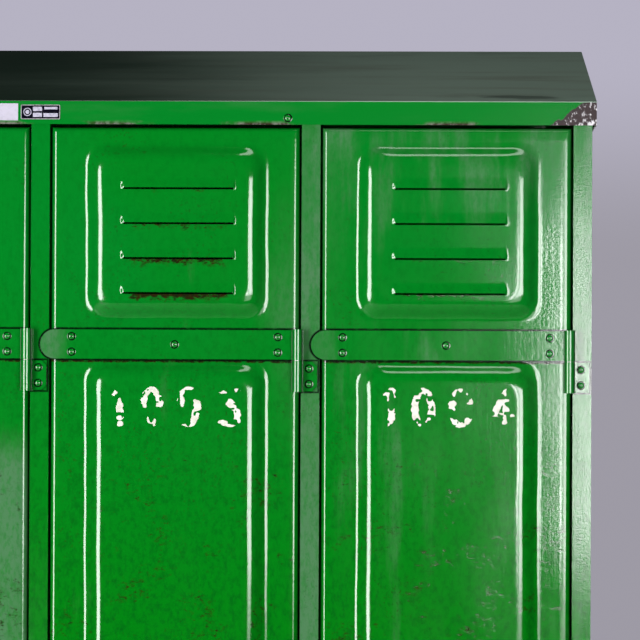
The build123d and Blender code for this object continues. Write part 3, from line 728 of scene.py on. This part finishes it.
def contour(x, z, value):
    """Points and faces of the region of a grid where the value is above zero."""
    points, faces, known = [], [], {}

    def point(key, place):
        if key not in known:
            known[key] = len(points)
            points.append(place)
        return known[key]

    rows, columns = value.shape
    for r in range(rows - 1):
        for c in range(columns - 1):
            corners = ((r, c), (r + 1, c), (r + 1, c + 1), (r, c + 1))
            if max(value[k] for k in corners) <= 0:
                continue
            face = []
            for here, there in zip(corners, corners[1:] + corners[:1]):
                a, b = value[here], value[there]
                if a > 0:
                    face.append(point(here, (x[here], z[here])))
                if (a > 0) != (b > 0):
                    share = a / (a - b)
                    place = tuple(g[here] + share * (g[there] - g[here]) for g in (x, z))
                    face.append(point(tuple(sorted((here, there))), place))
            if len(face) > 2:
                faces.append(tuple(face))
    return points, faces


def door_number(n):
    """A plain number painted on the door, with much of its paint flaked away."""
    points, faces = [], []
    for k, (digit, middle) in enumerate(zip(f"100{n}", DIGIT_X)):
        reach = NUMBER_WIDTH / 2 + 0.008
        across = np.arange(-reach, reach, NUMBER_STEP)
        down = np.arange(-0.004, NUMBER_HEIGHT + 0.004, NUMBER_STEP)
        x, z = np.meshgrid(across, down)
        seed = 1000 + 10 * n + k
        ragged = 0.0012 * soft_noise(x, z, 0.004, seed) + 0.0006 * soft_noise(x, z, 0.0017, seed + 200)
        stroke = STROKE_HALF - stroke_distance(x, z, DIGITS[digit]) + ragged
        flake = soft_noise(x, z, 0.011, seed + 400) + 0.6 * soft_noise(x, z, 0.004, seed + 600) + 0.02
        places, shapes = contour(x, z, np.minimum(stroke, flake * 0.003))
        faces += [tuple(i + len(points) for i in shape) for shape in shapes]
        points += [(a + middle, b + NUMBER_TOP) for a, b in places]
    place = np.array(points)
    height = door_surface(place[:, 0], place[:, 1], 100 * n) + 0.00005
    solid = np.stack([place[:, 0] + door_x(n), FACE_Y - height, DOOR_TOP - place[:, 1]], -1)
    mesh = bpy.data.meshes.new(f"door_number_{n}")
    mesh.from_pydata(solid.tolist(), [], faces)
    made = add_object(f"door_number_{n}", mesh, [NUMBER_PAINT])
    coat = made.modifiers.new("coat", "SOLIDIFY")
    coat.thickness = 0.00015
    coat.offset = 1
    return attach(made, f"door_{n}")


# ---- plates on the fascia --------------------------------------------------------------
def slab(work, x_range, y_range, z_range, material, radius=0.0):
    """A thin plate with an optional corner radius, added to a mesh in the making."""
    (x0, x1), (z0, z1) = x_range, z_range
    corners = [(x1, z1, 0), (x0, z1, 90), (x0, z0, 180), (x1, z0, 270)]
    outline = []
    for x, z, turn in corners:
        sx, sz = (1 if x == x1 else -1), (1 if z == z1 else -1)
        for step in range(5 if radius else 1):
            a = math.radians(turn + 22.5 * step)
            outline.append((x + radius * (math.cos(a) - sx), z + radius * (math.sin(a) - sz)))
    front = [work.verts.new((x, y_range[0], z)) for x, z in outline]
    back = [work.verts.new((x, y_range[1], z)) for x, z in outline]
    made = [work.faces.new(front), work.faces.new(back[::-1])]
    for k in range(len(outline)):
        m = (k + 1) % len(outline)
        made.append(work.faces.new((front[m], front[k], back[k], back[m])))
    for face in made:
        face.material_index = material


PLATE_RIM = 0.0011
# blank boxes on the plate: left, right, bottom and top as shares of its width and height
PLATE_BOXES = ((0.31, 0.54, 0.56, 0.85), (0.31, 0.54, 0.16, 0.44),
               (0.60, 0.93, 0.68, 0.84), (0.58, 0.94, 0.16, 0.42))
PLATE_RINGS = ((0.0042, 0.0053), (0.0001, 0.0026))  # inner and outer radii
RING_STEPS = 32


def maker_plate():
    """A small plate with a light rim, a black ground, a plain ring and four blank boxes."""
    low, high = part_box("maker_plate")
    back = high.y
    work = bmesh.new()
    slab(work, (low.x, high.x), (back - 0.0006, back), (low.z, high.z), 0, 0.0015)
    slab(work, (low.x + PLATE_RIM, high.x - PLATE_RIM), (back - 0.00075, back - 0.0005),
         (low.z + PLATE_RIM, high.z - PLATE_RIM), 1, 0.0006)
    width, height = high.x - low.x, high.z - low.z
    for left, right, bottom, top in PLATE_BOXES:
        slab(work, (low.x + left * width, low.x + right * width), (back - 0.0009, back - 0.0007),
             (low.z + bottom * height, low.z + top * height), 2)
    centre_x, centre_z = low.x + 0.17 * width, low.z + 0.5 * height
    for k in range(RING_STEPS):
        a, b = (2 * math.pi * t / RING_STEPS for t in (k, k + 1))
        for inner, outer in PLATE_RINGS:
            ring = [(outer, a), (outer, b), (inner, b), (inner, a)]
            spots = [(centre_x + r * math.cos(t), centre_z + r * math.sin(t)) for r, t in ring]
            face = work.faces.new([work.verts.new((x, back - 0.0009, z)) for x, z in spots])
            face.material_index = 2
    bmesh.ops.remove_doubles(work, verts=work.verts, dist=1e-6)
    bmesh.ops.recalc_face_normals(work, faces=work.faces)
    mesh = bpy.data.meshes.new("blank_maker_plate")
    work.to_mesh(mesh)
    work.free()
    made = add_object("blank_maker_plate", mesh, [PLATE_METAL, PLATE_BLACK, PLATE_WHITE], smooth=False)
    keep(made, "cabinet", "plate_metal", "maker_plate")


# ---- softened copies of CAD nodes ------------------------------------------------------
HARD_EDGE = math.radians(35)


def softened(node, radius, material, slot, body, name):
    """A copy of a CAD node with its hard edges rounded over; it stands for the node."""
    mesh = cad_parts[node].data.copy()
    work = bmesh.new()
    work.from_mesh(mesh)
    bmesh.ops.remove_doubles(work, verts=work.verts, dist=1e-6)
    bmesh.ops.dissolve_limit(work, angle_limit=math.radians(0.5), verts=work.verts, edges=work.edges)
    edges = [e for e in work.edges if len(e.link_faces) == 2 and e.calc_face_angle(0) > HARD_EDGE]
    bmesh.ops.bevel(work, geom=edges, offset=radius, segments=3, profile=0.5, affect="EDGES",
                    clamp_overlap=True)
    work.to_mesh(mesh)
    work.free()
    made = add_object(name, mesh, [material])
    mesh.set_sharp_from_angle(angle=math.radians(50))
    tidy = made.modifiers.new("even shading", "WEIGHTED_NORMAL")
    tidy.keep_sharp = True
    return keep(made, body, slot, node)


def islands(node):
    """The boxes of a CAD node's separate solids."""
    work = bmesh.new()
    work.from_mesh(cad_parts[node].data)
    bmesh.ops.remove_doubles(work, verts=work.verts, dist=1e-6)
    found, seen = [], set()
    for start in work.verts:
        if start in seen:
            continue
        group, queue = [], [start]
        seen.add(start)
        while queue:
            vertex = queue.pop()
            group.append(vertex.co.copy())
            for edge in vertex.link_edges:
                other = edge.other_vert(vertex)
                if other not in seen:
                    seen.add(other)
                    queue.append(other)
        corners = np.array(group)
        found.append((Vector(corners.min(0)), Vector(corners.max(0))))
    work.free()
    return found


RIVET_STEPS = 24
RIVET_RISE = 0.0022


def lathe(points, centre):
    """Verts and faces of a profile of (radius, y) points turned about a front-to-back axis."""
    steps = RIVET_STEPS
    verts, faces = [], []
    for radius, y in points:
        for k in range(steps):
            a = 2 * math.pi * k / steps
            verts.append((centre.x + radius * math.cos(a), y, centre.z + radius * math.sin(a)))
    for ring in range(len(points) - 1):
        for k in range(steps):
            m = (k + 1) % steps
            a, b = ring * steps, (ring + 1) * steps
            faces.append((a + k, a + m, b + m, b + k))
    faces.append(tuple(range(steps - 1, -1, -1)))
    last = (len(points) - 1) * steps
    faces.append(tuple(last + k for k in range(steps)))
    return verts, faces


def rivets(node, name, body, material):
    """Round rivets with low domes and a dimple, one for each solid of the node."""
    verts, faces, shade = [], [], []
    for low, high in islands(node):
        centre = (low + high) / 2
        radius = (high.x - low.x) / 2
        seat = low.y + RIVET_RISE
        shank = radius * 0.58
        collar = seat - 0.00008
        profile = [(shank, high.y), (shank, seat), (radius * 1.3, seat), (radius * 1.25, collar),
                   (radius, collar), (radius * 0.97, seat - RIVET_RISE * 0.3)]
        for angle in (20, 38, 55, 70):
            a = math.radians(angle)
            height = RIVET_RISE * (0.3 + 0.7 * math.sin(a))
            profile.append((radius * 0.97 * math.cos(a), seat - height))
        profile += [(radius * 0.16, low.y + 0.0001), (radius * 0.08, low.y + 0.0004)]
        more_verts, more_faces = lathe(profile, centre)
        faces += [tuple(i + len(verts) for i in f) for f in more_faces]
        verts += more_verts
        # painted shade at the head's seat and rim, where it meets the sheet, and in its dimple
        shade_amounts = [0, 1, 1, 1, 1, 0.8, 0.4, 0, 0, 0, 0.5, 1]  # one amount for each profile point
        shade += [amount for amount in shade_amounts for _ in range(RIVET_STEPS)]
    mesh = bpy.data.meshes.new(name)
    mesh.from_pydata(verts, [], faces)
    store(mesh, "shade", shade)
    made = add_object(name, mesh, [material])
    mesh.set_sharp_from_angle(angle=math.radians(50))
    return keep(made, body, "green_paint", node)


# ---- floor, light and camera -----------------------------------------------------------
FLOOR_RADIUS = 3.0
FLOOR_COLOURS = (0.27, 0.265, 0.283), (0.25, 0.245, 0.262)
STUDIO_LIGHTS = {  # place, aim, width, height, radiance and shape
    "left_box": ((-1.96, -2.98, 1.40), (0.35, FACE_Y, 1.40), 1.3, 2.5, 20, "ELLIPSE"),
    "right_box": ((1.82, -3.72, 1.45), (1.82, FACE_Y, 1.45), 1.36, 1.00, 18, "RECTANGLE"),
    "right_edge_box": ((0.92, -3.72, 1.42), (0.92, FACE_Y, 1.42), 0.16, 0.80, 33, "RECTANGLE"),
    "low_right_box": ((1.55, -3.72, 0.62), (1.55, FACE_Y, 0.62), 1.20, 0.66, 4, "RECTANGLE"),
    "top_box": ((1.0, -1.15, 3.7), (0.8, FACE_Y, 1.6), 1.4, 0.45, 6, "RECTANGLE"),
    "back_box": ((1.9, 4.0, 1.1), (0, 0.2, 1.0), 2.2, 1.8, 6, "ELLIPSE"),
}
LOW_BACKDROP, HIGH_BACKDROP = (0.340, 0.325, 0.376, 1), (0.466, 0.448, 0.545, 1)
CAMERA_PLACE = (0.5087, -5.0, 1.4688)
CAMERA_TURN = (0.588, 1.756, 0.263)  # degrees up, left and anticlockwise
CAMERA_SENSOR, CAMERA_LENS = 36, 208.33


def floor():
    """A plain pale floor."""
    work = bmesh.new()
    bmesh.ops.create_circle(work, cap_ends=True, segments=96, radius=FLOOR_RADIUS)
    mesh = bpy.data.meshes.new("floor")
    work.to_mesh(mesh)
    work.free()
    g = Graph("pale_floor")
    g.set(Base_Color=g.blend(g.rise(g.noise(0.6), 0.4, 0.6), *FLOOR_COLOURS))
    g.set(Roughness=0.6)
    made = add_object("floor", mesh, [g.material], smooth=False)


def soft_box(name, place, aim, width, height, radiance, shape):
    """A studio light that faces a point."""
    light = bpy.data.lights.new(name, "AREA")
    light.shape = shape
    light.size = width
    light.size_y = height
    area = width * height * (math.pi / 4 if shape == "ELLIPSE" else 1)
    light.energy = radiance * math.pi * area
    made = bpy.data.objects.new(name, light)
    bpy.context.scene.collection.objects.link(made)
    made.location = place
    made.rotation_euler = (Vector(aim) - Vector(place)).to_track_quat("-Z", "Y").to_euler()
    made.visible_camera = False


def backdrop():
    """The studio behind the object: lavender grey, lighter upwards, and dark in reflections."""
    world = bpy.data.worlds.new("studio")
    bpy.context.scene.world = world
    world.use_nodes = True
    tree = world.node_tree
    tree.nodes.clear()

    def node(kind, **inputs):
        made = tree.nodes.new("ShaderNode" + kind)
        for key, value in inputs.items():
            socket = made.inputs[int(key[1:]) if key[0] == "_" else key]
            if isinstance(value, bpy.types.NodeSocket):
                tree.links.new(value, socket)
            else:
                socket.default_value = value
        return made

    ray = node("TexCoord").outputs["Generated"]
    up = node("SeparateXYZ", Vector=ray).outputs[2]
    lift = node("MapRange", Value=up, _1=0.025, _2=0.082)
    lift.interpolation_type = "SMOOTHSTEP"
    shown = node("Mix", _0=lift.outputs[0])
    shown.data_type = "RGBA"
    shown.inputs[6].default_value = LOW_BACKDROP
    shown.inputs[7].default_value = HIGH_BACKDROP
    seen = node("Background", Color=shown.outputs[2], Strength=1.0)
    fill = node("Background", Color=(0.75, 0.8, 0.9, 1), Strength=0.03)
    is_camera = node("LightPath").outputs["Is Camera Ray"]
    either = node("MixShader", Fac=is_camera, _1=fill.outputs[0], _2=seen.outputs[0])
    node("OutputWorld", Surface=either.outputs[0])


def camera():
    """The photograph's view: far off, nearly level, a little to the right of the middle."""
    data = bpy.data.cameras.new("camera")
    made = bpy.data.objects.new("camera", data)
    bpy.context.scene.collection.objects.link(made)
    bpy.context.scene.camera = made
    pitch, yaw, roll = (math.radians(a) for a in CAMERA_TURN)
    level = Vector((math.cos(yaw), math.sin(yaw), 0))
    ahead = Vector((-math.sin(yaw), math.cos(yaw), 0))
    forward = ahead * math.cos(pitch) + Vector((0, 0, math.sin(pitch)))
    upright = level.cross(forward)
    right = level * math.cos(roll) + upright * math.sin(roll)
    up = upright * math.cos(roll) - level * math.sin(roll)
    turn = Matrix((right, up, -forward)).transposed().to_4x4()
    made.matrix_world = Matrix.Translation(CAMERA_PLACE) @ turn
    data.sensor_width = CAMERA_SENSOR
    data.lens = CAMERA_LENS
    data.clip_start = 0.1
    data.clip_end = 100


# ---- the whole object ------------------------------------------------------------------
PAINTED = {
    "side_panel_left": 0.0004, "side_panel_right": 0.0004, "back_panel": 0.0004,
    "floor_panel": 0.0004, "top_panel": 0.0004, "partition_1": 0.0003, "partition_2": 0.0003,
    "partition_3": 0.0003, "top_rail": 0.0006, "plinth": 0.0006, "hat_shelves": 0.0003,
}
for node, radius in PAINTED.items():
    softened(node, radius, GLOSS, "green_paint", "cabinet", f"painted_{node}")
for n in range(1, 6):
    paint = HAMMERED if n == 5 else POST_GLOSS
    softened(f"post_{n}", 0.0016, paint, "green_paint", "cabinet", f"painted_post_{n}")
softened("hinge_leaves", 0.0005, LEAF_GLOSS, "green_paint", "cabinet", "painted_hinge_leaves")
softened("roof", 0.0003, ROOF, "roof_paint", "cabinet", "painted_roof")
softened("feet", 0.002, RUBBER, "bare_steel", "cabinet", "foot_pads")
softened("coat_rails", 0.0002, STEEL, "bare_steel", "cabinet", "steel_coat_rails")
softened("hinge_pins", 0.0006, STEEL, "bare_steel", "cabinet", "steel_hinge_pins")
maker_plate()
softened("label", 0.0001, LABEL_PAPER, "label_film", "cabinet", "blank_label")
rivets("frame_rivets", "painted_frame_rivets", "cabinet", RIVET_GLOSS)
for n in DOORS:
    body = f"door_{n}"
    door_skin(n)
    door_number(n)
    rivets(f"strap_rivets_{n}", f"painted_strap_rivets_{n}", body, RIVET_GLOSS)
    for place in ("upper", "lower"):
        softened(f"strap_{place}_{n}", 0.0005, STRAP_GLOSS, "green_paint", body,
                 f"painted_strap_{place}_{n}")
    softened(f"coin_plate_{n}", 0.0006, CHROME, "lock_chrome", body, f"chrome_coin_plate_{n}")
    softened(f"lock_case_{n}", 0.0005, STEEL, "bare_steel", body, f"steel_lock_case_{n}")
    softened(f"key_{n}", 0.0004, BRASS, "key_brass", f"key_{n}", f"brass_key_{n}")
    softened(f"latch_bolt_{n}", 0.0005, STEEL, "bare_steel", f"bolt_{n}", f"steel_latch_bolt_{n}")
    softened(f"return_flap_{n}", 0.0003, CHROME, "lock_chrome", f"flap_{n}", f"chrome_return_flap_{n}")

floor()
backdrop()
for name, settings in STUDIO_LIGHTS.items():
    soft_box(name, *settings)
camera()
bpy.context.scene.view_settings.view_transform = "Standard"
